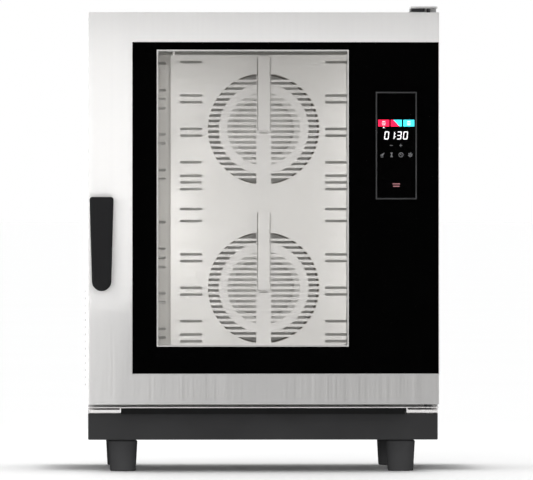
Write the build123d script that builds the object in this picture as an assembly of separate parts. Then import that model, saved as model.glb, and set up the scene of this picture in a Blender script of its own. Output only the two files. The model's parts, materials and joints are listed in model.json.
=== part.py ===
from build123d import *
import os

# Combi steamer oven, ten GN 1/1 levels, door hinged on the right.
# Millimetres. X to the right seen from the front, Y to the back, Z up.
# The origin is on the floor, under the middle of the oven's bounding box.

# Driving dimensions
WIDTH = 760.0
HALF_WIDTH = WIDTH / 2
DOOR_FRONT = -315.0
DOOR_BACK = -255.0
CABINET_FRONT = -245.0
CABINET_BACK = 345.0
BODY_BOTTOM = 127.0
BODY_TOP = 996.0
SHEET = 1.5
FLANGE = 14.0
FRAME_SHEET = 2.0

# Base and feet
PLINTH_FRONT = -255.0
PLINTH_BACK = 335.0
PLINTH_BOTTOM = 70.0
PLINTH_INSET = 8.0
FOOT_X = 303.0
FOOT_FRONT_Y = -165.0
FOOT_REAR_Y = 285.0
FOOT_TOP_RADIUS = 31.5
FOOT_BOTTOM_RADIUS = 28.0
FOOT_STEM_RADIUS = 8.0
FOOT_STEM_TOP = 112.0

# Door
DOOR_BOTTOM = 148.0
DOOR_TOP = 997.0
DOOR_SKIN_BACK = -271.0
GLASS_LEFT = -286.0
GLASS_BOTTOM = 213.0
GLASS_TOP = 934.0
GLASS_FRONT = -314.0
GLASS_THICKNESS = 6.0
GLASS_BOND = 0.8
WINDOW_LEFT = -229.0
WINDOW_RIGHT = 181.0
WINDOW_BOTTOM = 276.0
WINDOW_TOP = 913.0
INNER_PANE = 5.0
INNER_PANE_LAP = 14.0
LED_X = (-260.0, 212.0)
LENS_BOTTOM = 405.5
LENS_TOP = 784.5
LENS_HALF_WIDTH = 3.8
SCREEN_LEFT = 242.5
SCREEN_RIGHT = 331.7
SCREEN_BOTTOM = 592.0
SCREEN_TOP = 825.0
PIVOT_X = 358.0
PIVOT_Y = -286.0
UPPER_PIN_RADIUS = 4.0
LOWER_PIN_RADIUS = 6.0
BUSH_WALL = 3.0
RUNNING_CLEARANCE = 0.05

# Hinges, sill and gutter
HINGE_PLATE = 4.0
HINGE_PLATE_LEFT = 319.0
HINGE_PLATE_RIGHT = 377.0
HINGE_PLATE_TOP = 1010.0
HINGE_FRONT = -306.0
UPPER_PIN_BOTTOM = 978.0
LOWER_PIN_TOP = 166.0
LOWER_ARM_TOP = 136.0
JOGGLE = -262.0
SILL_FRONT = -300.0
SILL_BOTTOM = 140.0
SILL_TOP = 142.0

# Handle
HANDLE_X = -352.0
HANDLE_TOP = 597.0
HANDLE_BOTTOM = 394.0
SPINDLE_Z = 571.0
SPINDLE_RADIUS = 6.0
SPINDLE_BACK = -249.0
CAM_BACK = -234.0
HANDLE_FRONT = -365.0
HANDLE_BACK = -343.0
CAM_RADIUS = 22.0
POCKET_REACH = CAM_RADIUS + 3.0

# Cavity
CAVITY_X = 13.0
CAVITY_HALF_WIDTH = 290.0
CAVITY_BOTTOM = 205.0
CAVITY_TOP = 922.0
CAVITY_BACK = 215.0
WALL = 1.5
INSULATION = 36.0
INSULATION_BELOW = 28.0
GASKET_CLEARANCE = 0.3

# Fan baffle
BAFFLE_FRONT = 112.0
BAFFLE_TOP = 913.0
BAFFLE_BOTTOM = 214.0
BAFFLE_HALF_WIDTH = 206.0
FAN_Z = {"upper": 749.0, "lower": 397.0}
GRILLE_INNER_RADIUS = 80.6
GRILLE_RING_RADIUS = 99.6
GRILLE_OUTER_RADIUS = 123.6
SLOT_PITCH = 11.9
SLOT_HEIGHT = 6.0
CENTRE_BAR = 33.0
SIDE_SLOT_GRID = 14.8
SIDE_SLOT_STEPS = (10, 5, 4, 0, -1, -5, -7, -8, -9, -12)
SIDE_SLOT_LENGTH = 49.6
SIDE_SLOT_CENTRE = 160.8
SIDE_SLOT_HEIGHT = 6.0
WING_SLOT_LENGTH = 32.0
WING_SLOT_MIDDLE = 26.5
WING_SLOT_OFFSETS = (145.5, 85.9, 66.4, 46.0, -12.0, -32.0, -91.0, -110.7)
WING_REACH = 84.0
WING_DEPTH = 76.0
COVERS = ((745.6, 910.0), (392.7, 564.0))
COVER_DEPTH = 9.0
COVER_HALF_WIDTH = 13.0
COVER_SLIT = 1.8
OUTLET_BELOW = 5.6
OUTLET_LENGTH = 22.0
OUTLET_HEIGHT = 3.0

# Fan wheels
WHEEL_RADIUS = 92.0
WHEEL_FRONT = 135.0
WHEEL_BACK = 190.0
SHAFT_RADIUS = 7.0
BLADES = 24

# Racks
LEVELS = 10
LEVEL_PITCH = 66.0
FIRST_LEVEL = 258.0
RUNNER_INNER = 253.0
POST_INNER = 276.0
POST_THICKNESS = 4.0
POST_WIDTH = 20.0
POST_FRONT_Y = -190.0
POST_REAR_Y = 60.0
WIRE = 6.0
PEG_Z = (300.0, 880.0)
RACK_LIFT = 12.0

# Top and rear fittings
EXHAUST_X = -250.0
EXHAUST_Y = 285.0
EXHAUST_RADIUS = 30.0
EXHAUST_TOP = 1008.0
VENT_Y = 150.0
VENT_Z = 976.0
VENT_RADIUS = 12.0
DAMPER_Y = 225.0
DAMPER_SHAFT = 2.0
DAMPER_BORE = 2.05
COLLAR = 2.0
REAR_REACH = 365.0
DRAIN_RADIUS = 20.0
DRAIN_Z = 150.0
DRAIN_Y = 60.0
INLET_RADIUS = 13.2
INLET_Z = 200.0
INLET_X = (-300.0, -230.0)
GLAND_X = 290.0
GLAND_Z = 200.0
GLAND_BORE = 9.0
BOX_LEFT = 120.0
BOX_RIGHT = 330.0
BOX_FRONT = 270.0
BOX_BOTTOM = 420.0
BOX_TOP = 720.0

os.makedirs("parts", exist_ok=True)


def span(x0, x1, y0, y1, z0, z1):
    """A block between two corners."""
    centre = Location(((x0 + x1) / 2, (y0 + y1) / 2, (z0 + z1) / 2))
    return centre * Box(abs(x1 - x0), abs(y1 - y0), abs(z1 - z0))


def rod(axis, radius, start, end, u, v):
    """A round bar along one axis. u and v are the other two coordinates, in X, Y, Z order."""
    length = abs(end - start)
    middle = (start + end) / 2
    if axis == "x":
        return Location((middle, u, v)) * Rotation(0, 90, 0) * Cylinder(radius, length)
    if axis == "y":
        return Location((u, middle, v)) * Rotation(90, 0, 0) * Cylinder(radius, length)
    return Location((u, v, middle)) * Cylinder(radius, length)


def save(name, shape):
    """Write one sub-part. A list of solids becomes one group."""
    if isinstance(shape, (list, tuple)):
        shape = Compound(children=list(shape))
    export_step(shape, f"parts/{name}.step")


def rounded_edges(shape, radius, axis):
    """Round every straight edge that runs along an axis."""
    return fillet(shape.edges().filter_by(axis), radius)


def foot_places():
    """The four feet, by name."""
    return {
        "front_left": (-FOOT_X, FOOT_FRONT_Y),
        "front_right": (FOOT_X, FOOT_FRONT_Y),
        "rear_left": (-FOOT_X, FOOT_REAR_Y),
        "rear_right": (FOOT_X, FOOT_REAR_Y),
    }


# ---------------------------------------------------------------- base and cabinet


def base_plinth():
    """Deck plate with a turned-down front apron, side rails and rear rail, and foot sockets."""
    deck_bottom = BODY_BOTTOM - 4.0
    rail = 12.0
    edge = HALF_WIDTH
    inset = edge - PLINTH_INSET
    apron_back = PLINTH_FRONT + rail
    deck = span(-inset, inset, apron_back, PLINTH_BACK, deck_bottom, BODY_BOTTOM)
    apron = span(-edge, edge, PLINTH_FRONT, apron_back, PLINTH_BOTTOM, BODY_BOTTOM)
    rear = span(-inset, inset, PLINTH_BACK - rail, PLINTH_BACK, PLINTH_BOTTOM, deck_bottom)
    sides = [
        span(x, x + rail, apron_back, PLINTH_BACK - rail, PLINTH_BOTTOM, deck_bottom)
        for x in (-inset, inset - rail)
    ]
    plinth = deck + apron + rear + sides[0] + sides[1]
    outer = plinth.edges().filter_by(Axis.Z).filter_by(lambda e: e.center().Y < PLINTH_FRONT + 1.0)
    plinth = fillet(outer, 2.5)
    low_edge = plinth.edges().filter_by(Axis.X).filter_by(lambda e: e.center().Y < PLINTH_FRONT + 1.0)
    plinth = fillet(low_edge.sort_by(Axis.Z)[0], 2.5)
    for x, y in foot_places().values():
        plinth += rod("z", 20.0, PLINTH_BOTTOM + 2.0, deck_bottom, x, y)
    for x, y in foot_places().values():
        bore = FOOT_STEM_RADIUS + RUNNING_CLEARANCE
        plinth -= rod("z", bore, PLINTH_BOTTOM, FOOT_STEM_TOP + 1.0, x, y)
    return plinth


def foot(x, y):
    """Adjustable foot: tapered cup with a flat sole and a threaded stem."""
    cup_top = PLINTH_BOTTOM - 2.0
    profile = Polyline(
        (0, 0),
        (FOOT_BOTTOM_RADIUS - 2.0, 0),
        (FOOT_BOTTOM_RADIUS, 2.0),
        (FOOT_TOP_RADIUS, cup_top - 3.0),
        (FOOT_TOP_RADIUS - 3.0, cup_top),
        (FOOT_STEM_RADIUS, cup_top),
        (FOOT_STEM_RADIUS, FOOT_STEM_TOP - 1.0),
        (FOOT_STEM_RADIUS - 1.0, FOOT_STEM_TOP),
        (0, FOOT_STEM_TOP),
        (0, 0),
    )
    turned = revolve(make_face(Plane.XZ * profile), Axis.Z)
    return Location((x, y, 0)) * turned


def latch_pocket():
    """Room for the latch cam behind the cabinet's left front edge."""
    left = -HALF_WIDTH + SHEET
    right = HANDLE_X + POCKET_REACH
    low = SPINDLE_Z - POCKET_REACH
    high = SPINDLE_Z + POCKET_REACH
    return span(left, right, CABINET_FRONT - 5.0, CABINET_FRONT + 10.0, low, high)


def side_panel(side):
    """Outer side sheet with returned edges and a field of ventilation slots towards the back."""
    outer = side * HALF_WIDTH
    inner = outer - side * SHEET
    flange = outer - side * FLANGE
    panel = span(outer, inner, CABINET_FRONT, CABINET_BACK, BODY_BOTTOM, BODY_TOP)
    low = BODY_BOTTOM + SHEET
    high = BODY_TOP - SHEET
    panel += span(inner, flange, CABINET_FRONT, CABINET_FRONT + SHEET, low, high)
    panel += span(inner, flange, CABINET_BACK - SHEET, CABINET_BACK, low, high)
    slots = Sketch()
    for column in range(2):
        for row in range(14):
            centre = Location((210.0 + 80.0 * column, 180.0 + 16.0 * row))
            slots += centre * SlotOverall(62.0, 5.0)
    panel -= extrude(Plane.YZ.offset(outer - side * 5.0) * slots, 10.0, both=True)
    return panel - latch_pocket()


def top_panel():
    """Top sheet with a hole for the exhaust."""
    edge = HALF_WIDTH - SHEET
    back = CABINET_BACK - SHEET
    sheet = span(-edge, edge, CABINET_FRONT, back, BODY_TOP - SHEET, BODY_TOP)
    hole = rod("z", EXHAUST_RADIUS + 1.0, BODY_TOP - 5.0, BODY_TOP + 5.0, EXHAUST_X, EXHAUST_Y)
    return sheet - hole


def bottom_panel():
    """Bottom sheet of the cabinet, lying on the base."""
    edge = HALF_WIDTH - SHEET
    return span(-edge, edge, CABINET_FRONT, CABINET_BACK - SHEET, BODY_BOTTOM, BODY_BOTTOM + SHEET)


def rear_panel():
    """Rear sheet with vent slots, and holes for the drain, the water inlets and the cable."""
    edge = HALF_WIDTH - SHEET
    inner = CABINET_BACK - SHEET
    low = BODY_BOTTOM + SHEET
    high = BODY_TOP - SHEET
    sheet = span(-edge + FLANGE, edge - FLANGE, inner, CABINET_BACK, low, high)
    slots = Sketch()
    for column in range(4):
        for row in range(12):
            centre = Location((-225.0 + 150.0 * column, 560.0 + 20.0 * row))
            slots += centre * SlotOverall(110.0, 6.0)
    sheet -= extrude(Plane.XZ.offset(-inner) * slots, 10.0, both=True)
    sheet -= rod("y", DRAIN_RADIUS + 1.0, inner - 5, CABINET_BACK + 5, CAVITY_X, DRAIN_Z)
    for x in INLET_X:
        sheet -= rod("y", INLET_RADIUS + 1.0, inner - 5, CABINET_BACK + 5, x, INLET_Z)
    return sheet - rod("y", 13.0, inner - 5, CABINET_BACK + 5, GLAND_X, GLAND_Z)


def front_frame():
    """Folded frame round the cavity mouth. The latch pocket is on the left."""
    edge = HALF_WIDTH - FLANGE
    back = CABINET_FRONT + FRAME_SHEET
    frame = span(-edge, edge, CABINET_FRONT, back, BODY_BOTTOM + SHEET, BODY_TOP - SHEET)
    mouth = span(
        CAVITY_X - CAVITY_HALF_WIDTH,
        CAVITY_X + CAVITY_HALF_WIDTH,
        CABINET_FRONT - 5.0,
        back + 5.0,
        CAVITY_BOTTOM,
        CAVITY_TOP,
    )
    return frame - mouth - latch_pocket()


def latch_strike():
    """Strike block above the latch cam, bolted behind the front frame."""
    front = CABINET_FRONT + FRAME_SHEET
    low = SPINDLE_Z + CAM_RADIUS + 0.8
    return span(HANDLE_X - 8.0, HANDLE_X + 12.0, front, front + 12.0, low, low + 26.0)


def cavity_sheets():
    """Five sheets of the cooking chamber: two side walls, ceiling, floor and back."""
    left = CAVITY_X - CAVITY_HALF_WIDTH
    right = CAVITY_X + CAVITY_HALF_WIDTH
    front = CABINET_FRONT + FRAME_SHEET
    back = CAVITY_BACK
    low = CAVITY_BOTTOM
    high = CAVITY_TOP
    sheets = {
        "cavity_left_wall": span(left - WALL, left, front, back, low, high),
        "cavity_right_wall": span(right, right + WALL, front, back, low, high),
        "cavity_ceiling": span(left - WALL, right + WALL, front, back, high, high + WALL),
        "cavity_floor": span(left - WALL, right + WALL, front, back, low - WALL, low),
        "cavity_back_wall": span(left - WALL, right + WALL, back, back + WALL, low - WALL, high + WALL),
    }
    sheets["cavity_floor"] -= rod("z", DRAIN_RADIUS + 0.2, low - 5.0, low + 5.0, CAVITY_X, DRAIN_Y)
    sheets["cavity_ceiling"] -= rod("z", VENT_RADIUS - 1.0, high - 5.0, high + 5.0, EXHAUST_X, VENT_Y)
    for z in FAN_Z.values():
        sheets["cavity_back_wall"] -= rod("y", SHAFT_RADIUS + 3.0, back - 5, back + 5, CAVITY_X, z)
    return sheets


def insulation_slabs():
    """Mineral wool round the chamber, cut as five slabs."""
    left = CAVITY_X - CAVITY_HALF_WIDTH - WALL
    right = CAVITY_X + CAVITY_HALF_WIDTH + WALL
    front = CABINET_FRONT + 6.0
    back = CAVITY_BACK + WALL
    low = CAVITY_BOTTOM - WALL
    high = CAVITY_TOP + WALL
    slabs = [
        span(left - INSULATION, left, front + 40.0, back, low, high),
        span(right, right + INSULATION, front, back, low, high),
        span(left - INSULATION, right + INSULATION, front, back, high, high + INSULATION),
        span(left - INSULATION, right + INSULATION, front, back, low - INSULATION_BELOW, low),
        span(left, right, back, back + INSULATION, low, high),
    ]
    slabs[3] -= rod("z", DRAIN_RADIUS + 1.0, low - 60.0, low + 5.0, CAVITY_X, DRAIN_Y)
    slabs[2] -= rod("z", VENT_RADIUS + 1.0, high - 5.0, high + 60.0, EXHAUST_X, VENT_Y)
    for z in FAN_Z.values():
        slabs[4] -= rod("y", SHAFT_RADIUS + 3.0, back - 5, back + INSULATION + 5, CAVITY_X, z)
    return slabs


def door_gasket():
    """Hollow-lip seal round the cavity mouth, just clear of the closed door."""
    left = CAVITY_X - CAVITY_HALF_WIDTH
    right = CAVITY_X + CAVITY_HALF_WIDTH
    front = DOOR_BACK + GASKET_CLEARANCE
    outer = span(left - 18, right + 18, front, CABINET_FRONT, CAVITY_BOTTOM - 18, CAVITY_TOP + 18)
    inner = span(left - 4, right + 4, front - 5, CABINET_FRONT + 5, CAVITY_BOTTOM - 4, CAVITY_TOP + 4)
    ring = rounded_edges(outer, 16.0, Axis.Y) - rounded_edges(inner, 6.0, Axis.Y)
    lip = ring.faces().sort_by(Axis.Y)[0].edges()
    return fillet(lip, 3.0)


# ---------------------------------------------------------------- inside the chamber


def grille_slots():
    """Horizontal slots of one fan grille: an inner disc and an outer ring, split by a bar."""
    bar = Rectangle(CENTRE_BAR, 3 * GRILLE_OUTER_RADIUS)
    disc = Circle(GRILLE_INNER_RADIUS) - bar
    ring = Circle(GRILLE_OUTER_RADIUS) - Circle(GRILLE_RING_RADIUS)
    rows = Sketch()
    for row in range(-9, 9):
        rows += Location((0, (row + 0.5) * SLOT_PITCH)) * Rectangle(300.0, SLOT_HEIGHT)
    rows_inner = Sketch()
    for row in range(-7, 7):
        rows_inner += Location((0, (row + 0.5) * SLOT_PITCH)) * Rectangle(300.0, SLOT_HEIGHT)
    cap_height = 12.0
    cap_low = 9 * SLOT_PITCH + 2.0
    caps = Location((0, cap_low + cap_height / 2)) * Rectangle(300.0, cap_height)
    caps += Location((0, -cap_low - cap_height / 2)) * Rectangle(300.0, cap_height)
    return ((ring - bar) & (rows + caps)) + (disc & rows_inner)


def fan_baffle():
    """Folded sheet in front of the fans: two round grilles, side slots and angled wings."""
    height = BAFFLE_TOP - BAFFLE_BOTTOM
    depth = WALL
    half = BAFFLE_HALF_WIDTH
    profile = Polyline(
        (-half - WING_REACH, WING_DEPTH),
        (-half, 0),
        (half, 0),
        (half + WING_REACH, WING_DEPTH),
        (half + WING_REACH, WING_DEPTH + depth),
        (half - depth / 2, depth),
        (-half + depth / 2, depth),
        (-half - WING_REACH, WING_DEPTH + depth),
        (-half - WING_REACH, WING_DEPTH),
    )
    outline = Location((CAVITY_X, BAFFLE_FRONT, BAFFLE_BOTTOM)) * make_face(profile)
    sheet = extrude(outline, height)
    holes = Sketch()
    for z in FAN_Z.values():
        holes += Location((CAVITY_X, z)) * grille_slots()
        for side in (-1, 1):
            for step in SIDE_SLOT_STEPS:
                x = CAVITY_X + side * SIDE_SLOT_CENTRE
                slot = SlotOverall(SIDE_SLOT_LENGTH, SIDE_SLOT_HEIGHT)
                holes += Location((x, z + step * SIDE_SLOT_GRID)) * slot
            for offset in WING_SLOT_OFFSETS:
                x = CAVITY_X + side * (half + WING_SLOT_MIDDLE)
                holes += Location((x, z + offset)) * SlotOverall(WING_SLOT_LENGTH, SIDE_SLOT_HEIGHT)
    for low, high in COVERS:
        holes += Location((CAVITY_X, low - OUTLET_BELOW)) * SlotOverall(OUTLET_LENGTH, OUTLET_HEIGHT)
        for side in (-1, 1):
            x = CAVITY_X + side * (COVER_HALF_WIDTH + COVER_SLIT / 2)
            top = min(high, BAFFLE_TOP - 6.0)
            holes += Location((x, (low + top) / 2)) * Rectangle(COVER_SLIT, top - low)
    cut = extrude(Plane.XZ.offset(-BAFFLE_FRONT - WING_DEPTH / 2) * holes, WING_DEPTH, both=True)
    return sheet - cut


def water_channel_covers():
    """Folded covers over the water tubes that run down to the middle of each fan."""
    front = BAFFLE_FRONT - COVER_DEPTH
    wall = 1.0
    left = CAVITY_X - COVER_HALF_WIDTH
    right = CAVITY_X + COVER_HALF_WIDTH
    covers = []
    for low, high in COVERS:
        shell = span(left, right, front, BAFFLE_FRONT, low, high)
        shell = fillet(shell.edges().filter_by(Axis.Z).filter_by(lambda e: e.center().Y < front + 1), 1.5)
        hollow = span(left + wall, right - wall, front + wall, BAFFLE_FRONT + wall, low - wall, high - wall)
        covers.append(shell - hollow)
    return covers


def injector_tubes():
    """Thin water tubes inside the covers, each turned back into the baffle at its top."""
    radius = 3.0
    y = BAFFLE_FRONT - COVER_DEPTH / 2
    tubes = []
    for low, high in COVERS:
        tube = rod("z", radius, low + 3.0, high - 3.0, CAVITY_X, y)
        tubes.append(tube + rod("y", radius, y, BAFFLE_FRONT, CAVITY_X, high - 3.0 - radius))
    return tubes


def baffle_hangers():
    """Two lugs that hold the baffle's top edge to the chamber's ceiling."""
    hangers = []
    for side in (-1, 1):
        x = CAVITY_X + side * (BAFFLE_HALF_WIDTH - 7.0)
        hangers.append(span(x - 2.5, x + 2.5, BAFFLE_FRONT, BAFFLE_FRONT + WALL, BAFFLE_TOP, CAVITY_TOP))
    return hangers


def ring_heaters():
    """Three heating rings round each fan wheel, tied to the back wall by flat bars."""
    radius = 125.0
    heaters = []
    for z in FAN_Z.values():
        heater = Part()
        for number in range(3):
            bar = span(radius - 2.0, radius + 2.0, 134.0, CAVITY_BACK, -6.0, 6.0)
            heater += Location((CAVITY_X, 0, z)) * Rotation(0, 90.0 + 120.0 * number, 0) * bar
        for y in (140.0, 162.0, 184.0):
            heater += Location((CAVITY_X, y, z)) * Rotation(90, 0, 0) * Torus(radius, 4.0)
        heaters.append(heater)
    return heaters


def fan_wheel(z):
    """Radial wheel: back disc, hub, a ring of blades and a front ring, on its motor shaft."""
    disc = rod("y", WHEEL_RADIUS, WHEEL_BACK - 2.0, WHEEL_BACK, CAVITY_X, z)
    front = rod("y", WHEEL_RADIUS, WHEEL_FRONT, WHEEL_FRONT + 2.0, CAVITY_X, z)
    front -= rod("y", WHEEL_RADIUS - 24.0, WHEEL_FRONT - 1.0, WHEEL_FRONT + 3.0, CAVITY_X, z)
    wheel = disc + front + rod("y", 18.0, WHEEL_FRONT + 8.0, WHEEL_BACK, CAVITY_X, z)
    blade = span(-0.75, 0.75, WHEEL_FRONT + 2.0, WHEEL_BACK - 2.0, WHEEL_RADIUS - 26.0, WHEEL_RADIUS - 2.0)
    for number in range(BLADES):
        turn = Location((CAVITY_X, 0, z)) * Rotation(0, 360.0 / BLADES * number, 0)
        wheel += turn * blade
    wheel -= rod("y", SHAFT_RADIUS, WHEEL_FRONT, WHEEL_BACK + 5, CAVITY_X, z)
    shaft = rod("y", SHAFT_RADIUS, WHEEL_FRONT + 8.0, 315.0, CAVITY_X, z)
    hexagon = Plane.XZ.offset(-WHEEL_FRONT) * Location((CAVITY_X, z)) * RegularPolygon(12.0, 6)
    nut = extrude(hexagon, -8.0)
    return [wheel, shaft, nut]


def fan_motors():
    """Two motors behind the insulation, with a mounting flange and a bore for the shaft."""
    motors = []
    for z in FAN_Z.values():
        body = rod("y", 52.0, 260.0, 336.0, CAVITY_X, z)
        body = fillet(body.edges().sort_by(Axis.Y)[-1], 6.0)
        body += rod("y", 62.0, CAVITY_BACK + WALL + INSULATION, 260.0, CAVITY_X, z)
        body -= rod("y", SHAFT_RADIUS + RUNNING_CLEARANCE, 250.0, 318.0, CAVITY_X, z)
        motors.append(body)
    return motors


def rack_posts(side):
    """Two flat posts of one tray rack, with keyholes that hang on the wall pegs."""
    inner = CAVITY_X + side * POST_INNER
    outer = inner + side * POST_THICKNESS
    low = FIRST_LEVEL - 30.0
    high = FIRST_LEVEL + LEVELS * LEVEL_PITCH - 12.0
    posts = []
    for y in (POST_FRONT_Y, POST_REAR_Y):
        post = span(inner, outer, y - POST_WIDTH / 2, y + POST_WIDTH / 2, low, high)
        post = rounded_edges(post, 3.0, Axis.X)
        for z in PEG_Z:
            start = inner - side * 2.0
            end = outer + side * 2.0
            post -= rod("x", 3.3, start, end, y, z)
            post -= span(start, end, y - 3.3, y + 3.3, z - RACK_LIFT, z)
            post -= rod("x", 5.6, start, end, y, z - RACK_LIFT - 1.0)
        posts.append(post)
    return posts


def rack_pegs():
    """Stepped pegs on the chamber walls: shoulder, neck and head."""
    pegs = []
    for side in (-1, 1):
        wall = CAVITY_X + side * CAVITY_HALF_WIDTH
        inner = CAVITY_X + side * POST_INNER
        outer = inner + side * POST_THICKNESS
        for y in (POST_FRONT_Y, POST_REAR_Y):
            for z in PEG_Z:
                peg = rod("x", 5.0, outer + side * 0.4, wall, y, z)
                peg += rod("x", 2.9, inner - side * 0.6, outer + side * 0.6, y, z)
                peg += rod("x", 5.0, inner - side * 3.0, inner - side * 0.5, y, z)
                pegs.append(peg)
    return pegs


def rack_runners(side):
    """Ten U-shaped wire runners, welded to the inner faces of the posts."""
    outer = CAVITY_X + side * POST_INNER
    inner = CAVITY_X + side * RUNNER_INNER
    half = WIRE / 2
    runners = []
    for level in range(LEVELS):
        z = FIRST_LEVEL + level * LEVEL_PITCH
        plan = span(inner - side * half, outer, POST_FRONT_Y - half, POST_REAR_Y + half, z - half, z + half)
        inside = span(
            inner + side * half, outer + side, POST_FRONT_Y + half, POST_REAR_Y - half, z - 10, z + 10
        )
        runner = rounded_edges(plan - inside, 1.0, Axis.Y)
        runners.append(runner)
    return runners


# ---------------------------------------------------------------- services


def drain_strainer():
    """Pressed strainer in the chamber floor."""
    low = CAVITY_BOTTOM
    dish = rod("z", 38.0, low, low + 2.5, CAVITY_X, DRAIN_Y)
    dish = fillet(dish.edges().sort_by(Axis.Z)[-1], 1.5)
    for ring in range(3):
        radius = 9.0 + 9.0 * ring
        for location in PolarLocations(radius, 6 + 6 * ring):
            dish -= Location((CAVITY_X, DRAIN_Y, low)) * location * Cylinder(2.2, 20.0)
    return dish


def drain_pipe():
    """Drain elbow: down from the chamber floor, then back through the rear panel."""
    outer = DRAIN_RADIUS
    inner = DRAIN_RADIUS - 1.5
    top = CAVITY_BOTTOM
    down = rod("z", outer, DRAIN_Z, top, CAVITY_X, DRAIN_Y)
    back = rod("y", outer, DRAIN_Y, REAR_REACH, CAVITY_X, DRAIN_Z)
    ball = Location((CAVITY_X, DRAIN_Y, DRAIN_Z)) * Sphere(outer)
    collar = rod("y", outer + 5.0, CABINET_BACK, CABINET_BACK + COLLAR, CAVITY_X, DRAIN_Z)
    pipe = down + back + ball + collar
    pipe -= rod("z", inner, DRAIN_Z, top + 1.0, CAVITY_X, DRAIN_Y)
    pipe -= rod("y", inner, DRAIN_Y, REAR_REACH + 1.0, CAVITY_X, DRAIN_Z)
    return pipe - Location((CAVITY_X, DRAIN_Y, DRAIN_Z)) * Sphere(inner)


def exhaust_pipe():
    """Vent from the chamber's ceiling to a short stack in the top, with bores for the damper's shaft."""
    bore = VENT_RADIUS - 1.5
    stack_bottom = VENT_Z - VENT_RADIUS - 2.0
    pipe = rod("z", EXHAUST_RADIUS, stack_bottom, EXHAUST_TOP, EXHAUST_X, EXHAUST_Y)
    pipe += rod("z", EXHAUST_RADIUS + 6.0, BODY_TOP, BODY_TOP + COLLAR, EXHAUST_X, EXHAUST_Y)
    pipe += rod("y", VENT_RADIUS, VENT_Y, EXHAUST_Y, EXHAUST_X, VENT_Z)
    pipe += Location((EXHAUST_X, VENT_Y, VENT_Z)) * Sphere(VENT_RADIUS)
    pipe += rod("z", VENT_RADIUS, CAVITY_TOP + WALL, VENT_Z, EXHAUST_X, VENT_Y)
    core = EXHAUST_RADIUS - 1.5
    pipe -= rod("z", core, stack_bottom + 1.5, EXHAUST_TOP + 1.0, EXHAUST_X, EXHAUST_Y)
    pipe -= rod("y", bore, VENT_Y, EXHAUST_Y, EXHAUST_X, VENT_Z)
    pipe -= Location((EXHAUST_X, VENT_Y, VENT_Z)) * Sphere(bore)
    pipe -= rod("z", bore, CAVITY_TOP, VENT_Z, EXHAUST_X, VENT_Y)
    return pipe - rod("x", DAMPER_BORE, EXHAUST_X - 20, EXHAUST_X + 20, DAMPER_Y, VENT_Z)


def damper_flap():
    """Butterfly flap across the vent, on its shaft."""
    reach = VENT_RADIUS - 2.2
    plate = rod("y", reach, DAMPER_Y - 0.75, DAMPER_Y + 0.75, EXHAUST_X, VENT_Z)
    shaft = rod("x", DAMPER_SHAFT, EXHAUST_X - 15.0, EXHAUST_X + 32.0, DAMPER_Y, VENT_Z)
    return plate + shaft


def damper_motor():
    """Small geared motor beside the vent, under the top sheet, with a bore for the shaft."""
    x = EXHAUST_X + VENT_RADIUS + 2.0
    top = BODY_TOP - SHEET
    body = span(x, x + 34.0, DAMPER_Y - 15.0, DAMPER_Y + 15.0, top - 32.0, top)
    body = rounded_edges(body, 3.0, Axis.X)
    return body - rod("x", DAMPER_BORE, x - 1.0, EXHAUST_X + 34.0, DAMPER_Y, VENT_Z)


def control_box():
    """Closed housing of the power board, on the right behind the chamber."""
    box = span(BOX_LEFT, BOX_RIGHT, BOX_FRONT, CABINET_BACK - SHEET, BOX_BOTTOM, BOX_TOP)
    return rounded_edges(box, 4.0, Axis.Y)


def contactors():
    """Three contactors on a rail, below the control box."""
    rail_front = CABINET_BACK - SHEET - 4.0
    low = BOX_BOTTOM - 120.0
    high = low + 80.0
    blocks = [span(BOX_LEFT, BOX_LEFT + 180.0, rail_front, CABINET_BACK - SHEET, low + 25.0, high - 25.0)]
    for number in range(3):
        left = BOX_LEFT + 10.0 + 55.0 * number
        block = span(left, left + 45.0, BOX_FRONT + 5.0, rail_front, low, high)
        blocks.append(chamfer(block.edges().filter_by(Axis.X), 8.0))
    return blocks


def solenoid_valves():
    """Two water valves with threaded inlets that stand out of the rear panel."""
    valves = []
    for x in INLET_X:
        body = span(x - 18.0, x + 18.0, 290.0, 330.0, INLET_Z - 16.0, INLET_Z + 16.0)
        coil = span(x - 15.0, x + 15.0, 294.0, 326.0, INLET_Z + 16.0, INLET_Z + 50.0)
        inlet = rod("y", INLET_RADIUS, 330.0, REAR_REACH, x, INLET_Z)
        inlet = chamfer(inlet.edges().sort_by(Axis.Y)[-1], 1.2)
        collar = rod("y", INLET_RADIUS + 4.0, CABINET_BACK, CABINET_BACK + COLLAR + 1.0, x, INLET_Z)
        valve = body + coil + inlet + collar
        valves.append(valve - rod("y", 8.0, 334.0, REAR_REACH + 1.0, x, INLET_Z))
    return valves


def cable_gland():
    """Gland for the mains cable: nut, flange and an open bore."""
    inner = CABINET_BACK - SHEET
    body = rod("y", 12.8, inner - 12.0, CABINET_BACK, GLAND_X, GLAND_Z)
    hexagon = Plane.XZ.offset(-CABINET_BACK) * Location((GLAND_X, GLAND_Z)) * RegularPolygon(17.0, 6)
    nut = extrude(hexagon, -12.0)
    dome = rod("y", 13.5, CABINET_BACK + 12.0, CABINET_BACK + 18.0, GLAND_X, GLAND_Z)
    dome = fillet(dome.edges().sort_by(Axis.Y)[-1], 2.5)
    gland = body + nut + dome
    return gland - rod("y", GLAND_BORE, inner - 20.0, REAR_REACH + 5.0, GLAND_X, GLAND_Z)


def case_screws():
    """Screws along the top edge of the rear panel and down its sides."""
    screws = []
    for x in (-330.0, -110.0, 110.0, 330.0):
        for z in (150.0, 975.0):
            head = rod("y", 5.0, CABINET_BACK, CABINET_BACK + 3.0, x, z)
            screws.append(fillet(head.edges().sort_by(Axis.Y)[-1], 1.5))
    return screws


# ---------------------------------------------------------------- hinges and sill


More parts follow.
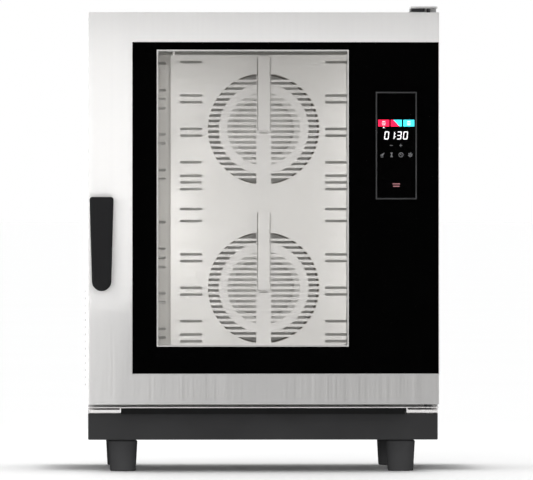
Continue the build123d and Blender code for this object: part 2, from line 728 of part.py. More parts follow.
def upper_hinge_plate():
    """Z-shaped plate on the top panel: foot, riser and an arm over the door."""
    left = HINGE_PLATE_LEFT
    right = HINGE_PLATE_RIGHT
    under_arm = HINGE_PLATE_TOP - HINGE_PLATE
    riser_back = CABINET_FRONT + 9.0
    riser_front = riser_back - HINGE_PLATE
    base_back = riser_back + 66.0
    corner = 6.0
    arm = span(left, right, HINGE_FRONT, riser_back, under_arm, HINGE_PLATE_TOP)
    arm = fillet(arm.edges().filter_by(Axis.Z).filter_by(lambda e: e.center().Y < HINGE_FRONT + 1), corner)
    riser = span(left, right, riser_front, riser_back, BODY_TOP, under_arm)
    base = span(left, right, riser_back, base_back, BODY_TOP, BODY_TOP + HINGE_PLATE)
    base = fillet(base.edges().filter_by(Axis.Z).filter_by(lambda e: e.center().Y > base_back - 1), corner)
    plate = arm + riser + base
    for x in (left + 12.0, right - 12.0):
        low = BODY_TOP + HINGE_PLATE
        bolt = rod("z", 6.0, low, low + 4.0, x, riser_back + 36.0)
        plate += fillet(bolt.edges().sort_by(Axis.Z)[-1], 1.5)
    return plate


def hinge_pad():
    """Black pad under the arm of the upper hinge plate."""
    left = HINGE_PLATE_LEFT + 0.5
    high = HINGE_PLATE_TOP - HINGE_PLATE
    pad = span(left, left + 29.5, HINGE_FRONT + 2.0, HINGE_FRONT + 42.0, DOOR_TOP + 3.0, high)
    return rounded_edges(pad, 2.0, Axis.Z)


def hinge_pins():
    """Upper pin, under the arm, and lower pin, on the lower plate."""
    under_arm = HINGE_PLATE_TOP - HINGE_PLATE
    upper = rod("z", UPPER_PIN_RADIUS, UPPER_PIN_BOTTOM, under_arm, PIVOT_X, PIVOT_Y)
    lower = rod("z", LOWER_PIN_RADIUS, LOWER_ARM_TOP, LOWER_PIN_TOP, PIVOT_X, PIVOT_Y)
    washer = rod("z", LOWER_PIN_RADIUS + 3.0, SILL_TOP + 0.2, DOOR_BOTTOM - 0.4, PIVOT_X, PIVOT_Y)
    return [upper, lower + washer]


def lower_hinge_plates():
    """Two joggled plates under the cabinet's front corners, so the door can be hung either way.

    Each turns up to the sill at its inner end.
    """
    low = LOWER_ARM_TOP - 6.0
    inner = 312.0
    outer = 378.0
    plates = []
    for side in (-1, 1):
        arm = span(side * inner, side * outer, HINGE_FRONT, JOGGLE, low, LOWER_ARM_TOP)
        front = arm.edges().filter_by(Axis.Z).filter_by(lambda e: e.center().Y < HINGE_FRONT + 1.0)
        arm = fillet(front.sort_by(lambda e: abs(e.center().X))[-1], 6.0)
        tail = span(side * inner, side * outer, JOGGLE, CABINET_FRONT, low, SILL_BOTTOM)
        riser = span(side * (inner - 2.5), side * inner, HINGE_FRONT, CABINET_FRONT, low, SILL_BOTTOM)
        hole = rod("z", 3.0, BODY_BOTTOM, SILL_TOP, side * (inner + 18.0), PIVOT_Y)
        plates.append(arm + tail + riser - hole)
    return plates


def door_sill():
    """Thin bright strip across the front, over the gutter, with a row of drain slots."""
    sill = span(-HALF_WIDTH, HALF_WIDTH, SILL_FRONT, CABINET_FRONT, SILL_BOTTOM, SILL_TOP)
    for side in (-1, 1):
        sill -= rod("z", LOWER_PIN_RADIUS + 0.1, SILL_BOTTOM - 5, SILL_TOP + 5, side * PIVOT_X, PIVOT_Y)
    slots = Sketch()
    for number in range(8):
        slots += Location((-245.0 + 70.0 * number, -262.0)) * SlotOverall(50.0, 6.0)
    return sill - extrude(Plane.XY.offset(SILL_TOP) * slots, 5.0, both=True)


def drip_gutter():
    """Black trough under the sill, between the lower hinge plates: floor, two walls and two ends."""
    wall = 3.0
    left = -309.0
    right = 307.0
    front = SILL_FRONT + 2.0
    back = CABINET_FRONT
    low = BODY_BOTTOM
    high = SILL_BOTTOM
    return [
        span(left, right, front, back, low, low + wall),
        span(left, right, front, front + wall, low + wall, high),
        span(left, right, back - wall, back, low + wall, high),
        span(left, left + wall, front + wall, back - wall, low + wall, high),
        span(right - wall, right, front + wall, back - wall, low + wall, high),
    ]


# ---------------------------------------------------------------- door


def door_skin():
    """C-shaped outer skin of the door: left column, top and bottom strips, and its edges."""
    outer = span(-HALF_WIDTH, HALF_WIDTH, DOOR_FRONT, DOOR_SKIN_BACK, DOOR_BOTTOM, DOOR_TOP)
    outer = rounded_edges(outer, 2.0, Axis.Z)
    inner = span(
        -HALF_WIDTH + SHEET,
        HALF_WIDTH - SHEET,
        DOOR_FRONT + SHEET,
        DOOR_SKIN_BACK + 1,
        DOOR_BOTTOM + SHEET,
        DOOR_TOP - SHEET,
    )
    ledge_front = GLASS_FRONT + GLASS_THICKNESS + GLASS_BOND
    pane = span(GLASS_LEFT, HALF_WIDTH + 5, DOOR_FRONT - 5, ledge_front, GLASS_BOTTOM, GLASS_TOP)
    lip = 12.0
    ledge = span(
        GLASS_LEFT - lip, HALF_WIDTH - SHEET, DOOR_FRONT + SHEET, ledge_front + SHEET,
        GLASS_BOTTOM - lip, GLASS_TOP + lip
    )
    gap = span(
        GLASS_LEFT + lip, HALF_WIDTH - SHEET, DOOR_FRONT - 5, ledge_front + 5,
        GLASS_BOTTOM + lip, GLASS_TOP - lip
    )
    skin = (outer - inner) + ledge - pane - gap
    upper = UPPER_PIN_RADIUS + BUSH_WALL + RUNNING_CLEARANCE
    lower = LOWER_PIN_RADIUS + BUSH_WALL + RUNNING_CLEARANCE
    skin -= rod("z", upper, DOOR_TOP - 10, DOOR_TOP + 5, PIVOT_X, PIVOT_Y)
    skin -= rod("z", lower, DOOR_BOTTOM - 5, DOOR_BOTTOM + 10, PIVOT_X, PIVOT_Y)
    bore = SPINDLE_RADIUS + RUNNING_CLEARANCE
    return skin - rod("y", bore, DOOR_FRONT - 5.0, DOOR_FRONT + 5.0, HANDLE_X, SPINDLE_Z)


def door_glass_outer():
    """Outer pane, flush with the skin and carried out to the door's right edge."""
    back = GLASS_FRONT + GLASS_THICKNESS
    gap = 0.5
    pane = span(
        GLASS_LEFT + gap, HALF_WIDTH, GLASS_FRONT, back, GLASS_BOTTOM + gap, GLASS_TOP - gap
    )
    edges = pane.faces().sort_by(Axis.Y)[0].edges()
    return chamfer(edges, 0.8)


def door_inner_panel():
    """Pressed inner panel with the window opening and the hole for the latch spindle."""
    edge = HALF_WIDTH - SHEET - 0.5
    low = DOOR_BOTTOM + SHEET + 0.5
    high = DOOR_TOP - SHEET - 0.5
    panel = span(-edge, edge, DOOR_SKIN_BACK, DOOR_BACK, low, high)
    panel -= span(
        -edge + SHEET, edge - SHEET, DOOR_SKIN_BACK - 1, DOOR_BACK - SHEET, low + SHEET, high - SHEET
    )
    window = span(WINDOW_LEFT, WINDOW_RIGHT, DOOR_BACK - 5, DOOR_BACK + 5, WINDOW_BOTTOM, WINDOW_TOP)
    panel -= rounded_edges(window, 5.0, Axis.Y)
    for x in LED_X:
        panel -= span(
            x - LENS_HALF_WIDTH - 0.2, x + LENS_HALF_WIDTH + 0.2, DOOR_BACK - 5, DOOR_BACK + 5,
            LENS_BOTTOM - 0.5, LENS_TOP + 0.5
        )
    upper = UPPER_PIN_RADIUS + BUSH_WALL + RUNNING_CLEARANCE
    panel -= rod("z", upper, DOOR_TOP - 10, DOOR_TOP + 5, PIVOT_X, PIVOT_Y)
    return panel - rod("y", SPINDLE_RADIUS + 2.0, DOOR_BACK - 5, DOOR_BACK + 5, HANDLE_X, SPINDLE_Z)


def door_glass_inner():
    """Inner pane, held behind the window by clips."""
    back = DOOR_BACK - SHEET
    front = back - INNER_PANE
    left = WINDOW_LEFT - INNER_PANE_LAP
    right = WINDOW_RIGHT + INNER_PANE_LAP
    pane = span(left, right, front, back, WINDOW_BOTTOM - INNER_PANE_LAP, WINDOW_TOP + INNER_PANE_LAP)
    return rounded_edges(pane, 8.0, Axis.Y)


def glass_clips():
    """Four Z-shaped clips that hold the inner pane against the panel."""
    back = DOOR_BACK - SHEET
    glass_front = back - INNER_PANE
    reach = 9.0
    half = 15.0
    clips = []
    for edge, side in ((WINDOW_LEFT - INNER_PANE_LAP, -1), (WINDOW_RIGHT + INNER_PANE_LAP, 1)):
        for z in (380.0, 810.0):
            outer = edge + side * reach
            clip = span(edge - side * 8.0, outer, glass_front - 3.0, glass_front, z - half, z + half)
            clip += span(edge, outer, glass_front, back, z - half, z + half)
            clips.append(clip)
    return clips


def door_led_strips():
    """Two light strips in the door, each with a lens that looks through the inner panel."""
    back = DOOR_BACK - SHEET
    strips = []
    for x in LED_X:
        housing = span(x - 5.5, x + 5.5, back - 8.0, back, LENS_BOTTOM - 5.5, LENS_TOP + 5.5)
        lens = span(x - LENS_HALF_WIDTH, x + LENS_HALF_WIDTH, back, DOOR_BACK - 0.2, LENS_BOTTOM, LENS_TOP)
        strips.append(housing + lens)
    return strips


def touch_panel_module():
    """Touch screen and its board, bonded behind the outer pane on the right."""
    front = GLASS_FRONT + GLASS_THICKNESS + GLASS_BOND
    module = span(SCREEN_LEFT, SCREEN_RIGHT, front, front + 14.0, SCREEN_BOTTOM, SCREEN_TOP)
    return rounded_edges(module, 3.0, Axis.Y)


def hinge_bushes():
    """Bushes in the door's top and bottom edges."""
    upper_bore = UPPER_PIN_RADIUS + RUNNING_CLEARANCE
    lower_bore = LOWER_PIN_RADIUS + RUNNING_CLEARANCE
    upper_low = UPPER_PIN_BOTTOM - 3.0
    lower_high = LOWER_PIN_TOP + 4.0
    upper = rod("z", UPPER_PIN_RADIUS + BUSH_WALL, upper_low, DOOR_TOP, PIVOT_X, PIVOT_Y)
    upper -= rod("z", upper_bore, upper_low - 5, DOOR_TOP + 5, PIVOT_X, PIVOT_Y)
    lower = rod("z", LOWER_PIN_RADIUS + BUSH_WALL, DOOR_BOTTOM, lower_high, PIVOT_X, PIVOT_Y)
    lower -= rod("z", lower_bore, DOOR_BOTTOM - 5, lower_high + 5, PIVOT_X, PIVOT_Y)
    return [upper, lower]


def latch_case():
    """Bearing block of the handle's spindle, inside the door's left column."""
    front = DOOR_FRONT + SHEET
    back = DOOR_BACK - SHEET - 5.5
    block = span(HANDLE_X - 22.0, HANDLE_X + 22.0, front, back, SPINDLE_Z - 41.0, SPINDLE_Z + 41.0)
    block = rounded_edges(block, 3.0, Axis.Y)
    return block - rod("y", SPINDLE_RADIUS + RUNNING_CLEARANCE, front - 5, back + 5, HANDLE_X, SPINDLE_Z)


# ---------------------------------------------------------------- handle


def handle_grip():
    """Turning handle: wide at its pivot, narrower and round at its free end."""
    top_half = 26.0
    low_half = 21.0
    corner = 6.0
    centre = Vector(HANDLE_X, HANDLE_BOTTOM + low_half)
    outline = Polyline(
        (centre.X - low_half, centre.Y),
        (HANDLE_X - top_half, HANDLE_TOP),
        (HANDLE_X + top_half, HANDLE_TOP),
        (centre.X + low_half, centre.Y),
    )
    end = ThreePointArc(
        (centre.X + low_half, centre.Y), (centre.X, HANDLE_BOTTOM), (centre.X - low_half, centre.Y)
    )
    face = Plane.XZ.offset(-HANDLE_BACK) * make_face(Curve() + outline + end)
    grip = extrude(face, HANDLE_BACK - HANDLE_FRONT)
    grip = fillet(grip.edges().filter_by(Axis.Y).filter_by(lambda e: e.center().Z > 500.0), corner)
    front = grip.faces().sort_by(Axis.Y)[0].edges()
    grip = fillet(front, 5.0)
    boss = rod("y", 17.0, HANDLE_BACK, DOOR_FRONT - 0.5, HANDLE_X, SPINDLE_Z)
    return grip + boss


def handle_spindle():
    """Square-shouldered shaft from the grip through the door to the latch cam."""
    return rod("y", SPINDLE_RADIUS, DOOR_FRONT - 0.5, SPINDLE_BACK, HANDLE_X, SPINDLE_Z)


def latch_cam():
    """Hooked cam on the spindle's inner end."""
    half = 7.0
    left = HANDLE_X - half
    right = HANDLE_X + half
    hub = rod("y", 10.0, SPINDLE_BACK, CAM_BACK, HANDLE_X, SPINDLE_Z)
    nose = span(left, right, SPINDLE_BACK, CAM_BACK, SPINDLE_Z, SPINDLE_Z + CAM_RADIUS - 2.0)
    hook = span(left, right + 4.0, CAM_BACK - 6.0, CAM_BACK, SPINDLE_Z + 10.0, SPINDLE_Z + 18.0)
    return hub + nose + hook


# ---------------------------------------------------------------- write every sub-part

save("base_plinth", base_plinth())
for place, (foot_x, foot_y) in foot_places().items():
    save(f"foot_{place}", foot(foot_x, foot_y))
save("left_side_panel", side_panel(-1))
save("right_side_panel", side_panel(1))
save("top_panel", top_panel())
save("bottom_panel", bottom_panel())
save("rear_panel", rear_panel())
save("front_frame", front_frame())
save("latch_strike", latch_strike())
for sheet_name, sheet_shape in cavity_sheets().items():
    save(sheet_name, sheet_shape)
save("insulation_slabs", insulation_slabs())
save("door_gasket", door_gasket())
save("fan_baffle", fan_baffle())
save("water_channel_covers", water_channel_covers())
save("injector_tubes", injector_tubes())
save("baffle_hangers", baffle_hangers())
save("ring_heaters", ring_heaters())
save("fan_motors", fan_motors())
for fan_name, fan_height in FAN_Z.items():
    save(f"fan_wheel_{fan_name}", fan_wheel(fan_height))
save("rack_pegs", rack_pegs())
for rack_name, rack_side in (("left", -1), ("right", 1)):
    save(f"{rack_name}_rack_posts", rack_posts(rack_side))
    save(f"{rack_name}_rack_runners", rack_runners(rack_side))
save("drain_strainer", drain_strainer())
save("drain_pipe", drain_pipe())
save("exhaust_pipe", exhaust_pipe())
save("damper_flap", damper_flap())
save("damper_motor", damper_motor())
save("control_box", control_box())
save("contactors", contactors())
save("solenoid_valves", solenoid_valves())
save("cable_gland", cable_gland())
save("case_screws", case_screws())
save("upper_hinge_plate", upper_hinge_plate())
save("hinge_pad", hinge_pad())
save("hinge_pins", hinge_pins())
save("lower_hinge_plates", lower_hinge_plates())
save("door_sill", door_sill())
save("drip_gutter", drip_gutter())
save("door_skin", door_skin())
save("door_glass_outer", door_glass_outer())
save("door_inner_panel", door_inner_panel())
save("door_glass_inner", door_glass_inner())
save("glass_clips", glass_clips())
save("door_led_strips", door_led_strips())
save("touch_panel_module", touch_panel_module())
save("hinge_bushes", hinge_bushes())
save("latch_case", latch_case())
save("handle_grip", handle_grip())
save("handle_spindle", handle_spindle())
save("latch_cam", latch_cam())
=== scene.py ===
import json
import math

import bmesh
import bpy
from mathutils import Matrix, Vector


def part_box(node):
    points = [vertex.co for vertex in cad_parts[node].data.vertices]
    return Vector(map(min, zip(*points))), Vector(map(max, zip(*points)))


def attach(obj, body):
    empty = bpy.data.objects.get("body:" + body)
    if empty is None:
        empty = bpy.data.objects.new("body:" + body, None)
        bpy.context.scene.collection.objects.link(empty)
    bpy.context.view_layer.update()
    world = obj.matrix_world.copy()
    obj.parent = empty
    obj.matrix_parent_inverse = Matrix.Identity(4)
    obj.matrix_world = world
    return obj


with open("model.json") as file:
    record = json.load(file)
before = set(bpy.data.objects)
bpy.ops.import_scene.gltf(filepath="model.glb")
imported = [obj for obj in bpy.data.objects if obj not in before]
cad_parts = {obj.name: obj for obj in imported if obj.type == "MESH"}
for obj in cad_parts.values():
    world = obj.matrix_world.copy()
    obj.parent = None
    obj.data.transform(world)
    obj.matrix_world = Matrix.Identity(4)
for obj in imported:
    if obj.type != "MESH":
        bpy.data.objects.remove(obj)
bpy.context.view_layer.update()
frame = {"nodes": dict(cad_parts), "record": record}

MM = 0.001
NODES = frame["nodes"]


# ------------------------------------------------------------------ camera

# A long lens far away, a little to the left of the oven, at about half its height.
door_low, door_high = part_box("door_skin")
DOOR_FACE = door_low.y
CAMERA_PLACE = Vector((-0.578, DOOR_FACE - 18.1, 0.549))
CAMERA_AIM = Vector((0.0055, DOOR_FACE, 0.504))


def make_camera():
    data = bpy.data.cameras.new("camera")
    data.sensor_width = 36.0
    data.lens = 565.0
    data.clip_start = 0.5
    data.clip_end = 5000.0
    camera = bpy.data.objects.new("camera", data)
    bpy.context.scene.collection.objects.link(camera)
    camera.location = CAMERA_PLACE
    camera.rotation_mode = "QUATERNION"
    camera.rotation_quaternion = (CAMERA_AIM - CAMERA_PLACE).to_track_quat("-Z", "Y")
    bpy.context.scene.camera = camera


make_camera()


# ------------------------------------------------------------------ materials


class Shader:
    """A node material under construction. Textures read object coordinates, so they are in metres."""

    def __init__(self, name, color, roughness, metallic=0.0):
        self.material = bpy.data.materials.new(name)
        self.material.use_nodes = True
        self.tree = self.material.node_tree
        self.surface = self.tree.nodes["Principled BSDF"]
        self.output = self.tree.nodes["Material Output"]
        self.color = color
        self.surface.inputs["Base Color"].default_value = (*color, 1.0)
        self.surface.inputs["Roughness"].default_value = roughness
        self.surface.inputs["Metallic"].default_value = metallic
        self.coordinates = self.tree.nodes.new("ShaderNodeTexCoord")
        self.normal = None

    def node(self, kind, **values):
        made = self.tree.nodes.new(kind)
        for key, value in values.items():
            setattr(made, key, value)
        return made

    def link(self, start, end):
        self.tree.links.new(start, end)

    def noise(self, scale, stretch=(1, 1, 1), detail=3.0, rough=0.5):
        """Noise with `scale` features per metre, divided by `stretch` along each axis."""
        mapping = self.node("ShaderNodeMapping")
        mapping.inputs["Scale"].default_value = [1.0 / value for value in stretch]
        texture = self.node("ShaderNodeTexNoise")
        texture.inputs["Scale"].default_value = scale
        texture.inputs["Detail"].default_value = detail
        texture.inputs["Roughness"].default_value = rough
        self.link(self.coordinates.outputs["Object"], mapping.inputs["Vector"])
        self.link(mapping.outputs["Vector"], texture.inputs["Vector"])
        return texture.outputs["Fac"]

    def spread(self, value, low, high, start=0.3, end=0.7):
        """Map a 0..1 texture onto a range."""
        remap = self.node("ShaderNodeMapRange")
        remap.inputs["From Min"].default_value = start
        remap.inputs["From Max"].default_value = end
        remap.inputs["To Min"].default_value = low
        remap.inputs["To Max"].default_value = high
        self.link(value, remap.inputs["Value"])
        return remap.outputs["Result"]

    def vary_color(self, value, other, amount=1.0):
        """Mix the base colour with another one by a texture."""
        mix = self.node("ShaderNodeMix", data_type="RGBA")
        factor = self.spread(value, 0.0, amount)
        self.link(factor, mix.inputs["Factor"])
        current = self.surface.inputs["Base Color"]
        if current.is_linked:
            self.link(current.links[0].from_socket, mix.inputs["A"])
        else:
            mix.inputs["A"].default_value = (*self.color, 1.0)
        mix.inputs["B"].default_value = (*other, 1.0)
        self.link(mix.outputs["Result"], current)

    def vary_roughness(self, value, low, high):
        self.link(self.spread(value, low, high), self.surface.inputs["Roughness"])

    def bump(self, value, depth):
        """Raise the surface by a texture. depth is in metres."""
        bump = self.node("ShaderNodeBump")
        bump.inputs["Strength"].default_value = 1.0
        bump.inputs["Distance"].default_value = depth
        self.link(value, bump.inputs["Height"])
        if self.normal:
            self.link(self.normal, bump.inputs["Normal"])
        self.normal = bump.outputs["Normal"]
        self.link(self.normal, self.surface.inputs["Normal"])


def brushed_steel(name, color, roughness, grain, bump_depth, smudge=0.012):
    """Stainless sheet: fine lines along one axis, slight streaks in tone, and faint wiping marks."""
    shader = Shader(name, color, roughness, metallic=1.0)
    along = [0.35 if axis == grain else 0.0012 for axis in "XYZ"]
    fine = shader.noise(1.0, along, detail=4.0, rough=0.65)
    broad = shader.noise(1.0, [value * (3.0 if value > 0.1 else 9.0) for value in along], detail=2.0)
    cloud = shader.noise(4.0, detail=3.0)
    darker = [value * (1.0 - 2.2 * smudge) for value in color]
    lighter = [min(1.0, value * (1.0 + 1.2 * smudge)) for value in color]
    shader.vary_color(broad, darker, 0.8)
    shader.vary_color(cloud, lighter, 0.7)
    shader.vary_roughness(fine, roughness - 0.05, roughness + 0.06)
    shader.bump(fine, bump_depth)
    return shader.material


def satin_steel(name, color, roughness, dull=0.04):
    """Steel with a fine, even matt finish and soft heat and cleaning marks."""
    shader = Shader(name, color, roughness, metallic=1.0)
    cloud = shader.noise(9.0, detail=4.0)
    grain = shader.noise(1800.0, detail=2.0)
    shader.vary_color(cloud, [value * (1.0 - 2.0 * dull) for value in color], 0.8)
    shader.vary_roughness(cloud, roughness - 0.04, roughness + 0.06)
    shader.bump(grain, 0.000012)
    return shader.material


def coated(name, color, roughness, texture_scale, texture_depth, shine=0.5, sheen=0.0):
    """Powder coat, moulded plastic or rubber: a fine pebbled skin with slight tone changes."""
    shader = Shader(name, color, roughness)
    pebble = shader.noise(texture_scale, detail=3.0, rough=0.6)
    cloud = shader.noise(14.0, detail=4.0)
    shader.vary_color(cloud, [value * 1.35 for value in color], 0.5)
    shader.vary_roughness(cloud, roughness - 0.05, roughness + 0.07)
    shader.bump(pebble, texture_depth)
    shader.surface.inputs["Sheen Weight"].default_value = sheen
    shader.surface.inputs["Specular IOR Level"].default_value = shine
    return shader.material


def glass(name, tint, gloss_roughness):
    """A thin pane: what is behind shows through unbent, and the surface mirrors by angle."""
    shader = Shader(name, tint, gloss_roughness)
    clear = shader.node("ShaderNodeBsdfTransparent")
    clear.inputs["Color"].default_value = (*tint, 1.0)
    mirror = shader.node("ShaderNodeBsdfGlossy")
    mirror.inputs["Color"].default_value = (1.0, 1.0, 1.0, 1.0)
    streak = shader.noise(3.0, (1.0, 1.0, 2.5), detail=3.0)
    shader.link(shader.spread(streak, gloss_roughness, gloss_roughness + 0.015), mirror.inputs["Roughness"])
    angle = shader.node("ShaderNodeLayerWeight")
    angle.inputs["Blend"].default_value = 0.5
    steep = shader.node("ShaderNodeMath", operation="POWER")
    steep.inputs[1].default_value = 5.0
    shader.link(angle.outputs["Facing"], steep.inputs[0])
    mix = shader.node("ShaderNodeMixShader")
    shader.link(shader.spread(steep.outputs["Value"], 0.035, 1.0, 0.0, 1.0), mix.inputs["Fac"])
    shader.link(clear.outputs["BSDF"], mix.inputs[1])
    shader.link(mirror.outputs["BSDF"], mix.inputs[2])
    shader.link(mix.outputs["Shader"], shader.output.inputs["Surface"])
    shader.tree.nodes.remove(shader.surface)
    return shader.material


def lit(name, color, strength):
    """A surface with a light of its own: a lamp lens, a display segment, a studio card, and the printed panel
    outline given a painted glow.
    """
    shader = Shader(name, color, 0.5)
    speck = shader.noise(900.0, detail=1.0)
    shader.vary_color(speck, [value * 0.9 for value in color], 0.5)
    shader.surface.inputs["Specular IOR Level"].default_value = 0.0
    shader.surface.inputs["Emission Color"].default_value = (*color, 1.0)
    shader.surface.inputs["Emission Strength"].default_value = strength
    return shader.material


def mineral_wool():
    """Yellowish fibre mat."""
    shader = Shader("mineral_wool", (0.52, 0.44, 0.24), 0.95)
    fibre = shader.noise(260.0, (1.0, 1.0, 0.25), detail=5.0, rough=0.7)
    shader.vary_color(fibre, (0.68, 0.62, 0.42))
    shader.bump(fibre, 0.0015)
    return shader.material


STEEL = (0.66, 0.655, 0.65)
PAINTS = {
    "door_steel": brushed_steel("door_steel", (0.855, 0.845, 0.835), 0.36, "Z", 0.000002),
    "panel_steel": brushed_steel("panel_steel", STEEL, 0.36, "Z", 0.000003),
    "frame_steel": brushed_steel("frame_steel", STEEL, 0.34, "Z", 0.000003),
    "top_steel": brushed_steel("top_steel", STEEL, 0.36, "X", 0.000003),
    "chamber_steel": satin_steel("chamber_steel", (0.72, 0.715, 0.70), 0.42),
    "baffle_steel": satin_steel("baffle_steel", (0.82, 0.81, 0.80), 0.55, dull=0.015),
    "bright_steel": satin_steel("bright_steel", (0.86, 0.85, 0.84), 0.24),
    "sill_steel": satin_steel("sill_steel", (0.90, 0.885, 0.88), 0.7),
    "zinc": satin_steel("zinc", (0.66, 0.68, 0.70), 0.48, dull=0.08),
    "motor_metal": satin_steel("motor_metal", (0.50, 0.51, 0.52), 0.58, dull=0.1),
    "heater_metal": satin_steel("heater_metal", (0.46, 0.44, 0.41), 0.5, dull=0.08),
    "dark_steel": coated("dark_steel", (0.02, 0.02, 0.021), 0.38, 900.0, 0.00002),
    "plinth_paint": coated("plinth_paint", (0.018, 0.018, 0.0185), 0.42, 700.0, 0.00004, shine=0.15),
    # Near black with almost no shine, darker than the plinth paint: the gutter's own black paint, deepened
    # into painted shade for the recessed band under the door.
    "gutter_black": coated("gutter_black", (0.003, 0.003, 0.003), 0.55, 700.0, 0.00004, shine=0.1),
    "foot_paint": coated("foot_paint", (0.036, 0.036, 0.037), 0.45, 500.0, 0.00004, shine=0.0),
    "seal_rubber": coated("seal_rubber", (0.018, 0.018, 0.018), 0.72, 1100.0, 0.00004, sheen=0.15),
    "black_plastic": coated("black_plastic", (0.008, 0.008, 0.009), 0.46, 1200.0, 0.00003, shine=0.3),
    "handle_plastic": coated("handle_plastic", (0.0078, 0.0078, 0.0082), 0.44, 1500.0, 0.00003, shine=0.05),
    "pale_plastic": coated("pale_plastic", (0.62, 0.61, 0.56), 0.50, 1200.0, 0.00003),
    "bush_plastic": coated("bush_plastic", (0.70, 0.69, 0.64), 0.45, 1200.0, 0.00002),
    "brass": satin_steel("brass", (0.72, 0.52, 0.22), 0.32, dull=0.08),
    "mineral_wool": mineral_wool(),
    "outer_glass": glass("outer_glass", (0.990, 0.990, 0.988), 0.01),
    "inner_glass": glass("inner_glass", (0.990, 0.990, 0.988), 0.015),
    "bead_grey": coated("bead_grey", (0.36, 0.355, 0.35), 0.55, 900.0, 0.00002, shine=0.1),
    "led_lens": lit("led_lens", (1.0, 0.97, 0.92), 3.0),
    "print_black": coated("print_black", (0.0006, 0.0006, 0.0006), 0.6, 2000.0, 0.000004, shine=0.0),
    # Grey print on the glass made to glow faintly: a painted glow, not a lamp.
    "print_grey_painted_glow": lit("print_grey_painted_glow", (0.030, 0.030, 0.031), 0.25),
    "key_grey": lit("key_grey", (0.10, 0.10, 0.105), 0.5),
    "digit_white": lit("digit_white", (0.80, 0.78, 0.80), 0.8),
    "mode_red": lit("mode_red", (0.85, 0.015, 0.06), 0.8),
    "mode_cyan": lit("mode_cyan", (0.05, 0.62, 0.72), 0.8),
    "mode_mark": lit("mode_mark", (0.85, 0.62, 0.66), 0.6),
    "start_red": lit("start_red", (0.22, 0.10, 0.11), 0.6),
}

NODE_PAINT = {
    "door_skin": "door_steel",
    "door_inner_panel": "frame_steel",
    "left_side_panel": "panel_steel",
    "right_side_panel": "panel_steel",
    "rear_panel": "panel_steel",
    "top_panel": "top_steel",
    "bottom_panel": "top_steel",
    "front_frame": "frame_steel",
    "upper_hinge_plate": "frame_steel",
    "lower_hinge_plates": "sill_steel",
    "door_sill": "sill_steel",
    "door_glass_outer": "outer_glass",
    "door_glass_inner": "inner_glass",
}
SLOT_PAINT = {
    "stainless": "panel_steel",
    "bright_steel": "bright_steel",
    "chamber_steel": "chamber_steel",
    "baffle_steel": "baffle_steel",
    "heater_metal": "heater_metal",
    "dark_steel": "dark_steel",
    "motor_metal": "motor_metal",
    "galvanised": "zinc",
    "plinth_paint": "plinth_paint",
    # This near-black finish also paints the shade of the recess under the door.
    "gutter_black": "gutter_black",
    "foot_metal": "foot_paint",
    "seal_rubber": "seal_rubber",
    "mineral_wool": "mineral_wool",
    "brass": "brass",
    "black_plastic": "black_plastic",
    "handle_plastic": "handle_plastic",
    "pale_plastic": "pale_plastic",
    "bush_plastic": "bush_plastic",
    "door_glass": "outer_glass",
    "clear_glass": "inner_glass",
    "led_lens": "led_lens",
}


def paint_nodes():
    """Give every CAD node its finish."""
    slots = {part["node"]: part["material_slot"] for part in frame["record"]["subparts"]}
    for name, node in NODES.items():
        paint = PAINTS[NODE_PAINT.get(name, SLOT_PAINT[slots[name]])]
        node.data.materials.clear()
        node.data.materials.append(paint)


paint_nodes()


# ------------------------------------------------------------------ pieces on the door glass

glass_low, glass_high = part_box("door_glass_outer")
module_low, module_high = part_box("touch_panel_module")
PRINT_BACK = glass_high.y + 0.45 * MM
PRINT_FRONT = glass_high.y + 0.25 * MM
INK_BACK = glass_high.y + 0.20 * MM
INK_FRONT = glass_high.y + 0.05 * MM


def finish_piece(name, mesh, paint, body):
    piece = bpy.data.objects.new(name, mesh)
    bpy.context.scene.collection.objects.link(piece)
    mesh.materials.append(PAINTS[paint])
    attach(piece, body)
    return piece


def slab(name, outlines, front, back, paint, body="door"):
    """Flat closed solids from outlines of (x, z) points, between two depths along Y."""
    mesh = bpy.data.meshes.new(name)
    work = bmesh.new()
    for outline in outlines:
        fronts = [work.verts.new((x, front, z)) for x, z in outline]
        backs = [work.verts.new((x, back, z)) for x, z in outline]
        work.faces.new(fronts)
        work.faces.new(list(reversed(backs)))
        count = len(outline)
        for index in range(count):
            after = (index + 1) % count
            work.faces.new((fronts[index], backs[index], backs[after], fronts[after]))
    bmesh.ops.recalc_face_normals(work, faces=work.faces)
    work.to_mesh(mesh)
    work.free()
    return finish_piece(name, mesh, paint, body)


def rectangle(x0, z0, x1, z1):
    return [(x0, z0), (x1, z0), (x1, z1), (x0, z1)]


def border(x0, z0, x1, z1, width):
    """Four mitred strips just inside a rectangle."""
    a, b, c, d = (x0, z0), (x1, z0), (x1, z1), (x0, z1)
    e, f = (x0 + width, z0 + width), (x1 - width, z0 + width)
    g, h = (x1 - width, z1 - width), (x0 + width, z1 - width)
    return [[a, b, f, e], [b, c, g, f], [c, d, h, g], [d, a, e, h]]


def ring_segments(x, z, inner, outer, count=24, start=0.0, turn=2 * math.pi):
    """A ring or arc as a chain of four-sided pieces."""
    pieces = []
    for index in range(count):
        first = start + turn * index / count
        second = start + turn * (index + 1) / count
        pieces.append(
            [
                (x + inner * math.cos(first), z + inner * math.sin(first)),
                (x + outer * math.cos(first), z + outer * math.sin(first)),
                (x + outer * math.cos(second), z + outer * math.sin(second)),
                (x + inner * math.cos(second), z + inner * math.sin(second)),
            ]
        )
    return pieces


# The window in the black print, a little larger than the opening in the inner panel.
WINDOW = (-0.232, 0.273, 0.184, 0.916)


